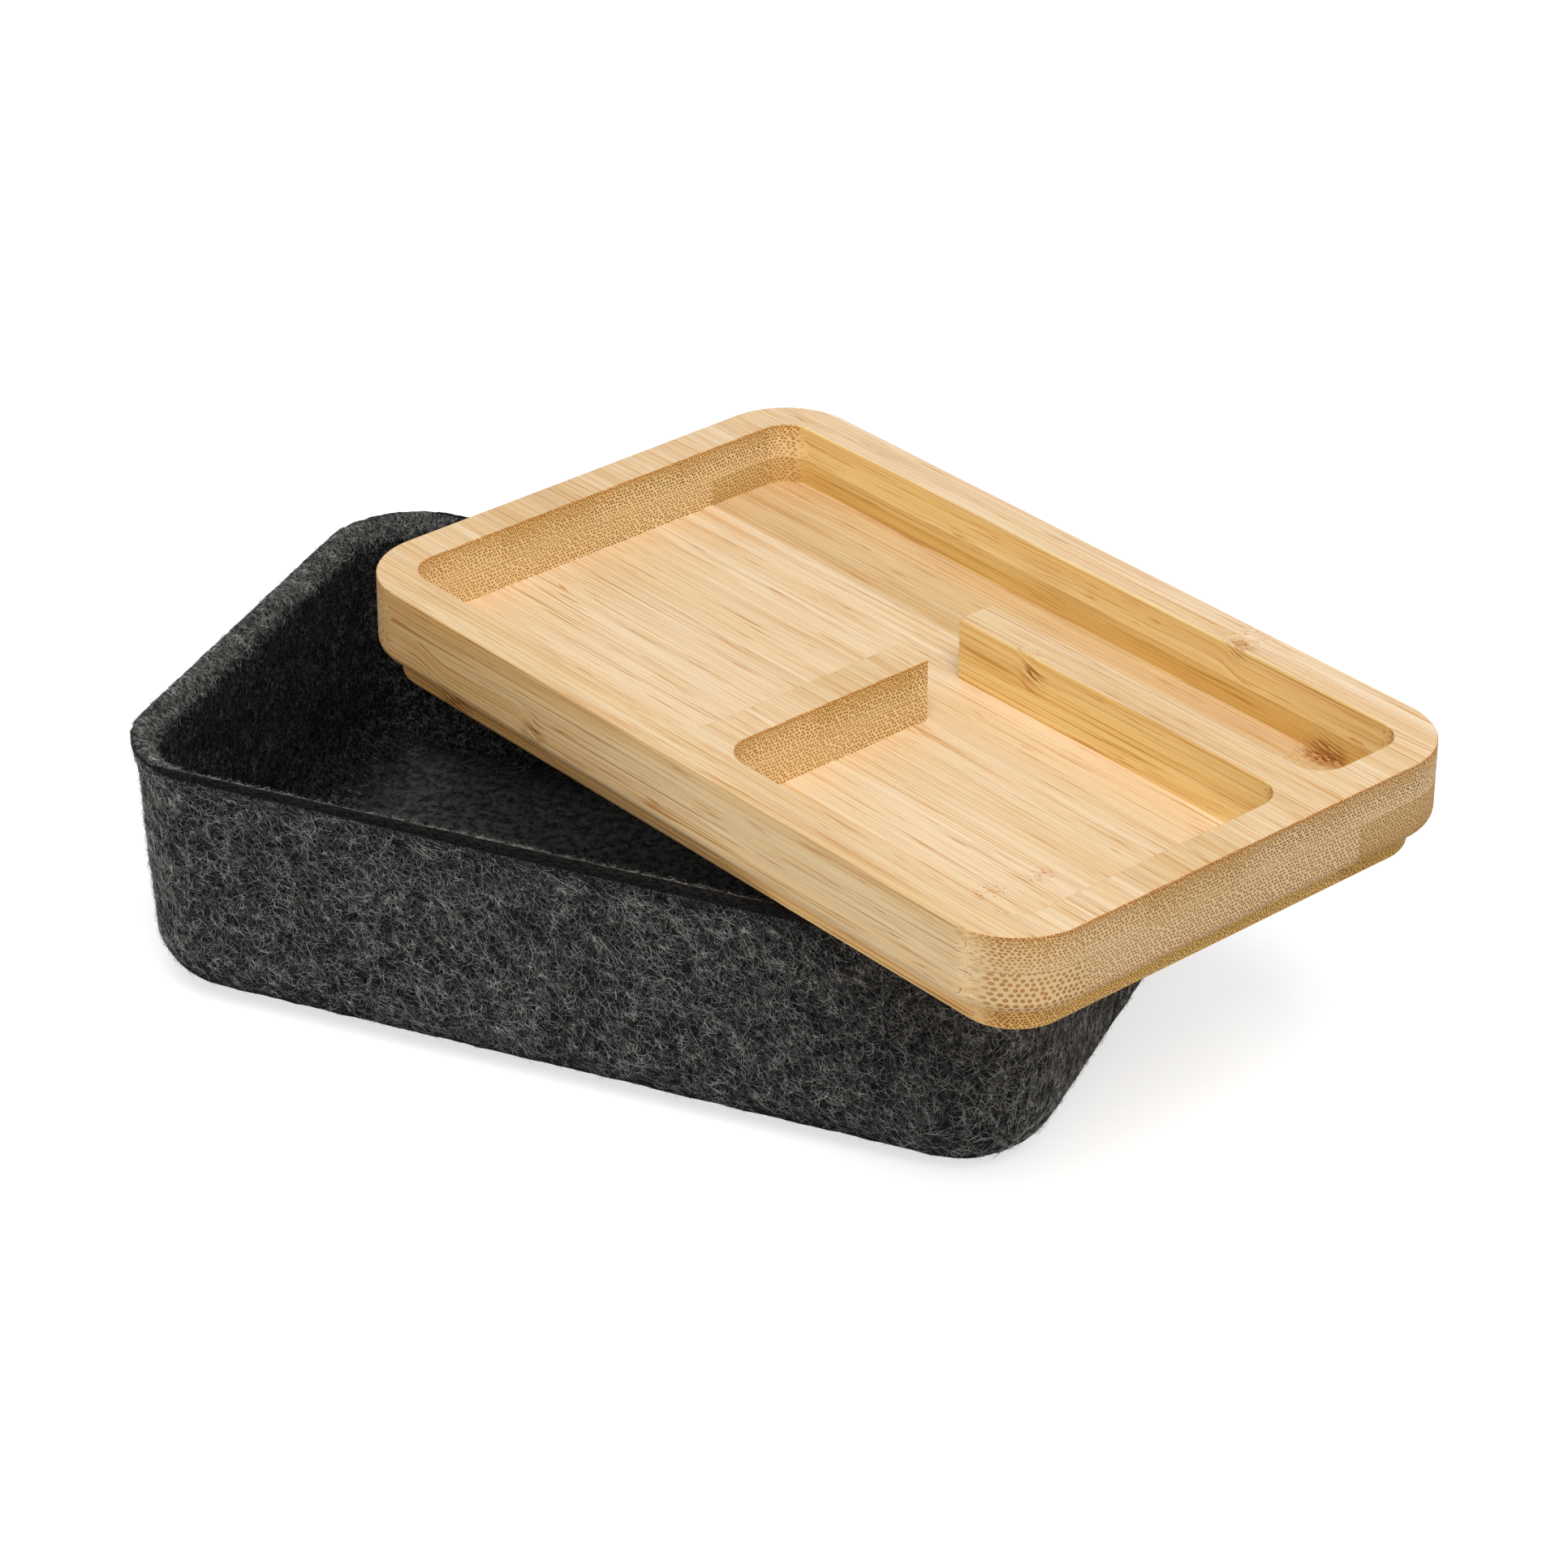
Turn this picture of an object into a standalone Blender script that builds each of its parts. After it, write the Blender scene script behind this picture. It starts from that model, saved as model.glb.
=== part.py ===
"""Felt storage box with a bamboo lid that doubles as a desk tray.

The box is one piece of pressed felt. The lid is a board of two layers of glued
bamboo strips, milled to a tray on top and to a plug underneath that drops into
the felt rim. It lies askew on the box here, with the plug flat on the rim.

The origin is the middle of the box's underside, +X runs along the box and +Z is
up. Every length is in metres.
"""
import math

import bmesh
import bpy
from mathutils import Vector

# Bamboo board, seen from above with its length along X
LID_LENGTH = 0.1800
LID_WIDTH = 0.1103
LID_CORNER_RADIUS = 0.0148
BOARD_HEIGHT = 0.0155
BOARD_TOP_EDGE_RADIUS = 0.0005
BOARD_LOWER_EDGE_RADIUS = 0.0025

# Plug under the board, which drops into the felt rim
PLUG_HEIGHT = 0.0055
PLUG_SETBACK = 0.0043
PLUG_EDGE_RADIUS = 0.0010

# Tray milled into the board, with a long and a short rib left standing
RIM_WIDTH = 0.0081
TRAY_DEPTH = 0.0123
TRAY_CORNER_RADIUS = 0.0060
LONG_RIB_WIDTH = 0.0081
SHORT_RIB_WIDTH = 0.0081
PEN_SLOT_WIDTH = 0.0221
SQUARE_TRAY_LENGTH = 0.0745
PASSAGE_WIDTH = 0.0148

# Two layers of glued strips
TOP_LAYER_HEIGHT = 0.0071
GLUE_GAP = 0.0003

# Glue seams, front to back: the stretch each lies in and the share of it passed there
TOP_SEAM_STRETCHES = ("square_tray", "square_tray", "square_tray", "long_rib", "pen_slot")
TOP_SEAM_SHARES = (0.017, 0.463, 0.909, 0.327, 0.744)
BOTTOM_SEAM_STRETCHES = ("square_tray", "square_tray", "passage", "pen_slot", "back_rim")
BOTTOM_SEAM_SHARES = (0.178, 0.624, 0.233, 0.111, 0.278)

# Pressed felt box
FELT_THICKNESS = 0.0040
PLUG_CLEARANCE = 0.0010
BOX_HEIGHT = 0.0505
BOX_CORNER_RADIUS = 0.0190
BOX_BOTTOM_RADIUS = 0.0110
WALL_LEAN = math.radians(2.0)
LIP_HEIGHT = 0.0080
LIP_FLARE = 0.0010
LIP_OUTER_RADIUS = 0.0005
TRIM_ALLOWANCE = 0.0030

# How the lid lies on the box
LID_ALONG_BOX = 0.0414
LID_ACROSS_BOX = 0.0025
LID_TURN = math.radians(-26.07)
REST_GAP = 0.0003

# Modelling values
OVERRUN = 0.0050
SAME_PLACE = 0.00002
ROUND_PROFILE_SHARE = 0.5
LARGE_CORNER_STEPS = 10
SMALL_CORNER_STEPS = 6
EDGE_STEPS = 3
BOTTOM_STEPS = 7
LIP_STEPS = 5
SMOOTH_ANGLE = math.radians(35.0)

FELT_COLOUR = (0.040, 0.041, 0.044, 1.0)
BAMBOO_COLOUR = (0.807, 0.597, 0.337, 1.0)
BAMBOO_TONE_SHARES = (1.00, 0.94, 0.98, 0.90, 1.02, 0.96)

# Where the lengths of one strip lie, by how many there are
STRIP_ENDINGS = {1: ("",), 2: ("_left", "_right"), 3: ("_left", "_middle", "_right")}


# Scene and collections

def clear_scene():
    for obj in list(bpy.data.objects):
        bpy.data.objects.remove(obj, do_unlink=True)


def new_collection(name):
    collection = bpy.data.collections.new(name)
    bpy.context.scene.collection.children.link(collection)
    return collection


def link_mesh(name, mesh, collection):
    obj = bpy.data.objects.new(name, mesh)
    collection.objects.link(obj)
    return obj


def mark_as_cutter(obj):
    obj.hide_render = True
    obj.display_type = 'WIRE'


# Materials

def principled(name, colour, roughness, metallic):
    material = bpy.data.materials.new(name)
    material.use_nodes = True
    shader = material.node_tree.nodes["Principled BSDF"]
    shader.inputs["Base Color"].default_value = colour
    shader.inputs["Roughness"].default_value = roughness
    shader.inputs["Metallic"].default_value = metallic
    material.diffuse_color = colour
    return material


def felt_material():
    return principled("felt", FELT_COLOUR, roughness=0.95, metallic=0.0)


def bamboo_material(name, number):
    share = BAMBOO_TONE_SHARES[number % len(BAMBOO_TONE_SHARES)]
    red, green, blue, alpha = BAMBOO_COLOUR
    tone = (red * share, green * share, blue * share * share, alpha)
    return principled(name, tone, roughness=0.55, metallic=0.0)


# Shaping helpers

def block_bmesh(low, high):
    """A box between two corners."""
    size = high - low
    bm = bmesh.new()
    bmesh.ops.create_cube(bm, size=1)
    bmesh.ops.scale(bm, vec=size, verts=bm.verts)
    bmesh.ops.translate(bm, vec=(low + high) / 2, verts=bm.verts)
    return bm


def upright_edges(bm):
    """Edges that run from one height to another."""
    return [e for e in bm.edges if abs(e.verts[0].co.z - e.verts[1].co.z) > SAME_PLACE]


def edges_at_height(bm, height):
    return [e for e in bm.edges if all(abs(v.co.z - height) < SAME_PLACE for v in e.verts)]


def outline_edges_at_height(bm, height):
    """Edges at a height between a level face and a face that isn't level."""
    chosen = []
    for edge in edges_at_height(bm, height):
        level = [abs(face.normal.z) > math.cos(SMOOTH_ANGLE) for face in edge.link_faces]
        if len(level) == 2 and level[0] != level[1]:
            chosen.append(edge)
    return chosen


def round_edges(bm, edges, radius, steps):
    bmesh.ops.bevel(bm, geom=edges, offset=radius, offset_type='OFFSET', affect='EDGES',
                    segments=steps, profile=ROUND_PROFILE_SHARE, clamp_overlap=True)
    bm.normal_update()


def to_object(bm, name, collection):
    bmesh.ops.recalc_face_normals(bm, faces=bm.faces)
    mesh = bpy.data.meshes.new(name)
    bm.to_mesh(mesh)
    bm.free()
    return link_mesh(name, mesh, collection)


def smooth(mesh):
    mesh.shade_smooth()
    mesh.set_sharp_from_angle(angle=SMOOTH_ANGLE)


def add_boolean(obj, cutter, operation):
    modifier = obj.modifiers.new(cutter.name, 'BOOLEAN')
    modifier.object = cutter
    modifier.operation = operation
    modifier.solver = 'EXACT'


def evaluated_mesh(obj):
    """The object's mesh with its modifiers applied."""
    bpy.context.view_layer.update()
    graph = bpy.context.evaluated_depsgraph_get()
    return bpy.data.meshes.new_from_object(obj.evaluated_get(graph))


def apply_modifiers(obj):
    mesh = evaluated_mesh(obj)
    obj.modifiers.clear()
    obj.data = mesh


# Bamboo lid, in its own frame: origin under the plug's middle, board on top

def lid_height():
    return PLUG_HEIGHT + BOARD_HEIGHT


def plug_half_size():
    return Vector((LID_LENGTH / 2 - PLUG_SETBACK, LID_WIDTH / 2 - PLUG_SETBACK, 0))


def make_plug(cutters):
    """The rebated lower step of the board, reaching up into it."""
    half = plug_half_size()
    low = Vector((-half.x, -half.y, 0))
    high = Vector((half.x, half.y, PLUG_HEIGHT + TOP_LAYER_HEIGHT))
    bm = block_bmesh(low, high)
    round_edges(bm, upright_edges(bm), LID_CORNER_RADIUS - PLUG_SETBACK, LARGE_CORNER_STEPS)
    round_edges(bm, outline_edges_at_height(bm, 0), PLUG_EDGE_RADIUS, EDGE_STEPS)
    plug = to_object(bm, "plug_shape", cutters)
    mark_as_cutter(plug)
    return plug


def arc_corner(before, corner, after, radius):
    """Points of a round corner of the given radius between two straight sides."""
    to_before = (before - corner).normalized()
    to_after = (after - corner).normalized()
    half_angle = to_before.angle(to_after) / 2
    reach = radius / math.tan(half_angle)
    middle = corner + (to_before + to_after).normalized() * (radius / math.sin(half_angle))
    start = corner + to_before * reach - middle
    end = corner + to_after * reach - middle
    points = []
    for step in range(SMALL_CORNER_STEPS + 1):
        share = step / SMALL_CORNER_STEPS
        points.append(middle + start.slerp(end, share) * radius)
    return points


def tray_stretches():
    """Stretches across the board, front to back, between the tray's edges."""
    back = LID_WIDTH / 2 - RIM_WIDTH
    long_rib_back = back - PEN_SLOT_WIDTH
    long_rib_front = long_rib_back - LONG_RIB_WIDTH
    short_rib_end = long_rib_front - PASSAGE_WIDTH
    return {
        "square_tray": (-back, short_rib_end),
        "passage": (short_rib_end, long_rib_front),
        "long_rib": (long_rib_front, long_rib_back),
        "pen_slot": (long_rib_back, back),
        "back_rim": (back, LID_WIDTH / 2),
    }


def tray_outline():
    """Outline of the milled tray, with milled corners and the ribs' square ends."""
    right = LID_LENGTH / 2 - RIM_WIDTH
    left = -right
    rib_right = right - SQUARE_TRAY_LENGTH
    rib_left = rib_right - SHORT_RIB_WIDTH
    stretches = tray_stretches()
    front, short_rib_end = stretches["square_tray"]
    long_rib_front, long_rib_back = stretches["long_rib"]
    back = stretches["pen_slot"][-1]
    milled = TRAY_CORNER_RADIUS
    corners = (
        (left, front, milled), (rib_left, front, milled),
        (rib_left, short_rib_end, 0), (rib_right, short_rib_end, 0),
        (rib_right, front, milled), (right, front, milled),
        (right, long_rib_front, milled), (rib_left, long_rib_front, 0),
        (rib_left, long_rib_back, 0), (right, long_rib_back, milled),
        (right, back, milled), (left, back, milled),
    )
    points = []
    for index, (x, y, radius) in enumerate(corners):
        corner = Vector((x, y, 0))
        if radius == 0:
            points.append(corner)
            continue
        before = Vector((*corners[index - 1][:2], 0))
        after = Vector((*corners[(index + 1) % len(corners)][:2], 0))
        points.extend(arc_corner(before, corner, after, radius))
    return points


def make_tray_cutter(cutters):
    """The tray's outline as a flat curve, raised to a solid cutter."""
    curve = bpy.data.curves.new("tray_cutter", 'CURVE')
    curve.dimensions = '2D'
    curve.fill_mode = 'BOTH'
    points = tray_outline()
    spline = curve.splines.new('POLY')
    spline.points.add(len(points) - 1)
    for target, point in zip(spline.points, points):
        target.co = (*point, 1)
    spline.use_cyclic_u = True
    cut_height = TRAY_DEPTH + OVERRUN
    curve.extrude = cut_height / 2
    flat = bpy.data.objects.new("tray_outline", curve)
    cutters.objects.link(flat)
    mesh = evaluated_mesh(flat)
    bpy.data.objects.remove(flat, do_unlink=True)
    bm = bmesh.new()
    bm.from_mesh(mesh)
    bmesh.ops.remove_doubles(bm, verts=bm.verts, dist=SAME_PLACE)
    floor = lid_height() - TRAY_DEPTH
    bmesh.ops.translate(bm, vec=Vector((0, 0, floor + cut_height / 2)), verts=bm.verts)
    cutter = to_object(bm, "tray_cutter", cutters)
    mark_as_cutter(cutter)
    return cutter


def make_board(cutters):
    """The whole milled board, which the strips are cut from."""
    half_length = LID_LENGTH / 2
    half_width = LID_WIDTH / 2
    low = Vector((-half_length, -half_width, PLUG_HEIGHT))
    high = Vector((half_length, half_width, lid_height()))
    bm = block_bmesh(low, high)
    round_edges(bm, upright_edges(bm), LID_CORNER_RADIUS, LARGE_CORNER_STEPS)
    round_edges(bm, outline_edges_at_height(bm, PLUG_HEIGHT), BOARD_LOWER_EDGE_RADIUS, EDGE_STEPS)
    round_edges(bm, outline_edges_at_height(bm, lid_height()), BOARD_TOP_EDGE_RADIUS, EDGE_STEPS)
    board = to_object(bm, "board_shape", cutters)
    add_boolean(board, make_plug(cutters), 'UNION')
    add_boolean(board, make_tray_cutter(cutters), 'DIFFERENCE')
    apply_modifiers(board)
    mark_as_cutter(board)
    return board


def seam_places(names, shares):
    """Places across the board of the glue seams of one layer, front to back."""
    stretches = tray_stretches()
    places = []
    for name, share in zip(names, shares):
        start, end = stretches[name]
        places.append(start + (end - start) * share)
    return places


def middle_along_board(piece):
    along = [v.co.x for v in piece.data.vertices]
    return (min(along) + max(along)) / 2


def loose_pieces(obj):
    """Separate an object into one object for each closed body, from left to right."""
    bpy.ops.object.select_all(action='DESELECT')
    obj.select_set(True)
    bpy.context.view_layer.objects.active = obj
    bpy.ops.object.mode_set(mode='EDIT')
    bpy.ops.mesh.select_all(action='SELECT')
    bpy.ops.mesh.separate(type='LOOSE')
    bpy.ops.object.mode_set(mode='OBJECT')
    pieces = list(bpy.context.selected_objects)
    bpy.ops.object.select_all(action='DESELECT')
    return sorted(pieces, key=middle_along_board)


def cut_strip(name, low, high, number, board, parts, place):
    """A long strip cut to the board's shape, in as many lengths as the tray leaves."""
    strip = to_object(block_bmesh(low, high), name, parts)
    add_boolean(strip, board, 'INTERSECT')
    apply_modifiers(strip)
    pieces = loose_pieces(strip)
    endings = STRIP_ENDINGS.get(len(pieces), [f"_{k + 1}" for k in range(len(pieces))])
    for piece, ending in zip(pieces, endings):
        piece.name = name + ending
        piece.data.name = piece.name
        smooth(piece.data)
        piece.data.materials.clear()
        piece.data.materials.append(bamboo_material(piece.name, number))
        piece.parent = place


def make_layer(layer, bottom, top, seams, board, parts, place):
    """Strips of one layer, side by side between the board's long edges."""
    reach = LID_WIDTH / 2 + OVERRUN
    edges = [-reach, *seams, reach]
    half_length = LID_LENGTH / 2 + OVERRUN
    for number in range(len(edges) - 1):
        low = Vector((-half_length, edges[number] + GLUE_GAP / 2, bottom))
        high = Vector((half_length, edges[number + 1] - GLUE_GAP / 2, top))
        name = f"{layer}_strip_{number + 1}"
        cut_strip(name, low, high, number, board, parts, place)


def make_lid(parts, cutters):
    place = bpy.data.objects.new("lid_place", None)
    parts.objects.link(place)
    board = make_board(cutters)
    glue_line = lid_height() - TOP_LAYER_HEIGHT
    bottom_seams = seam_places(BOTTOM_SEAM_STRETCHES, BOTTOM_SEAM_SHARES)
    make_layer("bottom", -OVERRUN, glue_line - GLUE_GAP / 2, bottom_seams,
               board, parts, place)
    top_seams = seam_places(TOP_SEAM_STRETCHES, TOP_SEAM_SHARES)
    make_layer("top", glue_line + GLUE_GAP / 2, lid_height() + OVERRUN, top_seams,
               board, parts, place)
    place.location = (LID_ALONG_BOX, LID_ACROSS_BOX, BOX_HEIGHT + REST_GAP)
    place.rotation_euler = (0, 0, LID_TURN)
    board.parent = place


# Felt box

def rim_half_size():
    """Half the felt rim's outer size, which the lid's plug fits inside."""
    return plug_half_size() + Vector((1, 1, 0)) * (PLUG_CLEARANCE + FELT_THICKNESS)


def lean_outward(bm, height, offset):
    """Move the points at a height outward from a rectangle's sides by an offset."""
    for vert in bm.verts:
        if abs(vert.co.z - height) < SAME_PLACE:
            vert.co.x += math.copysign(offset, vert.co.x)
            vert.co.y += math.copysign(offset, vert.co.y)


def outer_skin():
    """Outside of the box up to the lip: leaning walls, round corners, round bottom."""
    lip_start = BOX_HEIGHT - LIP_HEIGHT
    lean = lip_start * math.tan(WALL_LEAN)
    half = rim_half_size() - Vector((1, 1, 0)) * (LIP_FLARE + lean)
    low = Vector((-half.x, -half.y, 0))
    high = Vector((half.x, half.y, lip_start))
    bm = block_bmesh(low, high)
    lean_outward(bm, lip_start, lean)
    round_edges(bm, upright_edges(bm), BOX_CORNER_RADIUS - LIP_FLARE, LARGE_CORNER_STEPS)
    round_edges(bm, outline_edges_at_height(bm, 0), BOX_BOTTOM_RADIUS, BOTTOM_STEPS)
    lids = [f for f in bm.faces if f.calc_center_median().z > lip_start - SAME_PLACE]
    bmesh.ops.delete(bm, geom=lids, context='FACES_ONLY')
    return bm


def flare_lip(bm):
    """Extend the open edge upward and outward, past the height it is trimmed to."""
    half = rim_half_size()
    rise = LIP_HEIGHT + TRIM_ALLOWANCE
    flare = LIP_FLARE * rise / LIP_HEIGHT
    open_edges = [e for e in bm.edges if e.is_boundary]
    grown = bmesh.ops.extrude_edge_only(bm, edges=open_edges)
    verts = [v for v in grown["geom"] if isinstance(v, bmesh.types.BMVert)]
    spread = Vector((1 + flare / half.x, 1 + flare / half.y, 1))
    bmesh.ops.scale(bm, vec=spread, verts=verts)
    bmesh.ops.translate(bm, vec=Vector((0, 0, rise)), verts=verts)


def make_trim_cutter(cutters):
    """Everything above the height at which the pressed felt is trimmed."""
    half = rim_half_size() + Vector((OVERRUN, OVERRUN, 0))
    low = Vector((-half.x, -half.y, BOX_HEIGHT))
    high = Vector((half.x, half.y, BOX_HEIGHT + TRIM_ALLOWANCE + OVERRUN))
    cutter = to_object(block_bmesh(low, high), "rim_trim", cutters)
    mark_as_cutter(cutter)
    return cutter


def round_trimmed_rim(mesh):
    """Round the trimmed rim: a tight outer edge and a wide roll to the inside."""
    bm = bmesh.new()
    bm.from_mesh(mesh)
    bm.normal_update()
    half = rim_half_size() - Vector((FELT_THICKNESS, FELT_THICKNESS, 0)) / 2
    outline = outline_edges_at_height(bm, BOX_HEIGHT)
    outer = [e for e in outline if outside_rounded(e, half, BOX_CORNER_RADIUS)]
    inner = [e for e in outline if e not in outer]
    round_edges(bm, inner, FELT_THICKNESS - 2 * LIP_OUTER_RADIUS, LIP_STEPS)
    outer = [e for e in outer if e.is_valid]
    round_edges(bm, outer, LIP_OUTER_RADIUS, EDGE_STEPS)
    bm.to_mesh(mesh)
    bm.free()


def outside_rounded(edge, half, radius):
    """Whether an edge lies outside a rectangle with rounded corners."""
    middle = (edge.verts[0].co + edge.verts[1].co) / 2
    past_x = abs(middle.x) - (half.x - radius)
    past_y = abs(middle.y) - (half.y - radius)
    if past_x > 0 and past_y > 0:
        return math.hypot(past_x, past_y) > radius
    return max(past_x, past_y) > radius


def make_felt_box(parts, cutters):
    bm = outer_skin()
    flare_lip(bm)
    bm.normal_update()
    mesh = bpy.data.meshes.new("felt_box")
    bm.to_mesh(mesh)
    bm.free()
    box = link_mesh("felt_box", mesh, parts)
    wall = box.modifiers.new("felt_thickness", 'SOLIDIFY')
    wall.thickness = FELT_THICKNESS
    wall.offset = -1
    wall.use_even_offset = True
    add_boolean(box, make_trim_cutter(cutters), 'DIFFERENCE')
    apply_modifiers(box)
    round_trimmed_rim(box.data)
    smooth(box.data)
    box.data.materials.append(felt_material())
    return box


def main():
    clear_scene()
    parts = new_collection("felt_storage_box")
    cutters = new_collection("cutters")
    make_felt_box(parts, cutters)
    make_lid(parts, cutters)


main()
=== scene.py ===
"""Looks of the felt storage box: the milled bamboo lid strip by strip, and the hairy felt tub.

Everything is in metres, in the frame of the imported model. The lid is first made square
to the axes, with its origin under the plug's middle, and is then turned into place.
"""
import math
import random

import bmesh
import bpy
from mathutils import Matrix, Vector
from mathutils.bvhtree import BVHTree


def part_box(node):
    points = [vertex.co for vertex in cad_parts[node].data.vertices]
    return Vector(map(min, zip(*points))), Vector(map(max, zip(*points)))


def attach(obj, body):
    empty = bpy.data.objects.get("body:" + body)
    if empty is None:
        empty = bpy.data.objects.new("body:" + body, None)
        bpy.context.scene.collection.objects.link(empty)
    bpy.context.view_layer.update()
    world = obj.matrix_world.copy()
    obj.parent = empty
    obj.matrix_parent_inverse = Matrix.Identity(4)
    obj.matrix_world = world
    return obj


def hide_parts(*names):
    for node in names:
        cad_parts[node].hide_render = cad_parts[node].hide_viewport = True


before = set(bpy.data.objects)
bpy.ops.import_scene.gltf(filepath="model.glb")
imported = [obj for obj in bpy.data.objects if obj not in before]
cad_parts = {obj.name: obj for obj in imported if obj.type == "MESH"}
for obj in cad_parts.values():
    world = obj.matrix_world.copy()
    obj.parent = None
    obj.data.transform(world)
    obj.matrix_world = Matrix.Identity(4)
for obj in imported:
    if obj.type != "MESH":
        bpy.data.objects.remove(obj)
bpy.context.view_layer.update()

MM = 0.001

# Lid, as it lies on the box
LID_TURN = math.radians(-26.07)
LID_PLACE = Vector((0.0414, 0.0025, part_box("bottom_strip_1")[0].z))
LID_LENGTH = 0.1800
LID_WIDTH = 0.1103
LID_CORNER = 0.0148
LID_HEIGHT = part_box("top_strip_1")[1].z - LID_PLACE.z
LOWER_EDGE = 0.0025

# Plug under the board
PLUG_HEIGHT = 0.0055
PLUG_SETBACK = 0.0043
PLUG_EDGE = 0.0010

# Tray and its ribs
RIM_WIDTH = 0.0081
TRAY_DEPTH = 0.0123
TRAY_CORNER = 0.0060
RIB_WIDTH = 0.0081
RIB_LEFT = -0.0007
SHORT_RIB_END = 0.00205
LONG_RIB_FRONT = 0.01685
ARRIS = 0.00034
RIB_ARRIS = 0.00038

# Glued strips, front to back: the seams between them, how light each strip is, and
# how many millimetres deep its dense outer skin goes
TOP_LAYER_HEIGHT = 0.0071
GLUE_LINE = LID_HEIGHT - TOP_LAYER_HEIGHT
TOP_SEAMS = (-0.04622, -0.02432, -0.00242, 0.01950, 0.04139)
TOP_TONES = (0.98, 1.01, 0.94, 0.99, 1.01, 1.05)
TOP_SKINS = (4.2, 3.6, 4.4, 3.8, 4.6, 4.2)
BOTTOM_SEAMS = (-0.03831, -0.01641, 0.00550, 0.02740, 0.04930)
BOTTOM_TONES = (0.99, 1.01, 0.99, 1.01, 0.88, 0.90)
BOTTOM_SKINS = (9.5, 9.5, 8.5, 9.5, 15.0, 14.0)

# Felt tub
TUB_HALF = Vector((0.0907, 0.05585, 0))
TUB_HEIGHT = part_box("felt_box")[1].z
TUB_CORNER = 0.0190
TUB_BOTTOM_RADIUS = 0.0110
TUB_WALL = 0.0040
WALL_MIDDLE = TUB_HALF - Vector((TUB_WALL, TUB_WALL, 0)) / 2
TUB_LEAN = math.radians(2.0)
VOXEL = 0.00105

# Lip of the tub: its outer edge stands up as a crest, and its inner edge falls and rolls in
LIP_HEIGHT = 0.0080
LIP_FLARE = 0.0010
LIP_RISE_SHARES = (0.45, 0.55)
LIP_FLARE_SHARES = (0.25, 0.75)
LIP_TOP_SHARE = 0.3
LIP_CREST = 0.0007
CREST_SPREAD = LIP_CREST / 2
LIP_FALL = 0.0014
LIP_ROLL = 0.0034
LIP_ARRIS = 0.0005

# Bare cut below the rim: it grows from left to right, is full on the long sides and
# fades out round the corners
CUT_BAND = 0.0019
CUT_LEFT_X = -0.088
CUT_FULL_X = 0.010
CUT_LEFT_SHARE = 0.4
CUT_GONE_Y = 0.040
CUT_FULL_Y = 0.054
CUT_TOP_WIDTH = 0.0012
FRINGE = 0.0001

# Unevenness of the felt
LUMP_SIZE = 0.0052
LUMP_HEIGHT = 0.00050
NUB_SIZE = 0.0016
NUB_HEIGHT = 0.00022

# Steps of each rounding
LID_CORNER_STEPS = 24
LOWER_EDGE_STEPS = 6
PLUG_CORNER_STEPS = 18
PLUG_EDGE_STEPS = 4
TRAY_CORNER_STEPS = 14
ARRIS_STEPS = 3
RIB_ARRIS_STEPS = 2
TUB_CORNER_STEPS = 14
TUB_BOTTOM_STEPS = 9
LIP_ROLL_STEPS = 7

# Modelling values
OVERRUN = 0.0050
SAME = 0.00002
LEVEL_TILT = 0.8
SMOOTH_ANGLE = math.radians(35)


def clamp(value, low=0.0, high=1.0):
    return min(max(value, low), high)


# Bench work: adding, picking, bevelling and cutting

def only(piece):
    """Make one piece the selected and active one."""
    bpy.ops.object.select_all(action='DESELECT')
    piece.select_set(True)
    bpy.context.view_layer.objects.active = piece


def add_block(name, low, high):
    low = Vector(low)
    high = Vector(high)
    bpy.ops.object.select_all(action='DESELECT')
    bpy.ops.mesh.primitive_cube_add(size=1, location=(low + high) / 2, scale=high - low)
    block = bpy.context.object
    block.name = name
    bpy.ops.object.transform_apply(location=True, rotation=True, scale=True)
    return block


def start_editing(piece, kind):
    only(piece)
    bpy.ops.object.mode_set(mode='EDIT')
    bpy.ops.mesh.select_mode(type=kind)
    bpy.ops.mesh.select_all(action='DESELECT')
    return bmesh.from_edit_mesh(piece.data)


def stop_editing():
    bpy.ops.object.mode_set(mode='OBJECT')


def pick(piece, items, rule):
    """Select the items of a mesh in edit mode that a rule holds for."""
    for item in items:
        if rule(item):
            item.select_set(True)
    bmesh.update_edit_mesh(piece.data)


def bevel_edges(piece, rule, radius, steps):
    bm = start_editing(piece, 'EDGE')
    pick(piece, bm.edges, rule)
    bpy.ops.mesh.bevel(offset=radius, segments=steps, profile=0.5, affect='EDGES')
    stop_editing()


def apply_modifier(piece, kind, **settings):
    """Add a modifier, set it up and apply it."""
    only(piece)
    modifier = piece.modifiers.new(kind.lower(), kind)
    for name, value in settings.items():
        setattr(modifier, name, value)
    bpy.ops.object.modifier_apply(modifier=modifier.name)


def cut(piece, tool, operation, keep_tool=False):
    apply_modifier(piece, 'BOOLEAN', object=tool, operation=operation, solver='EXACT')
    if not keep_tool:
        bpy.data.objects.remove(tool, do_unlink=True)


def upright(edge):
    a, b = (v.co for v in edge.verts)
    return abs(a.z - b.z) > SAME


def at_height(edge, height):
    return all(abs(v.co.z - height) < SAME for v in edge.verts)


def outline_at(height):
    """Rule for edges at a height between a level face and one that isn't level."""
    def rule(edge):
        if not at_height(edge, height) or len(edge.link_faces) != 2:
            return False
        level = [abs(face.normal.z) > LEVEL_TILT for face in edge.link_faces]
        return level[0] != level[1]
    return rule


# Bamboo lid

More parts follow.
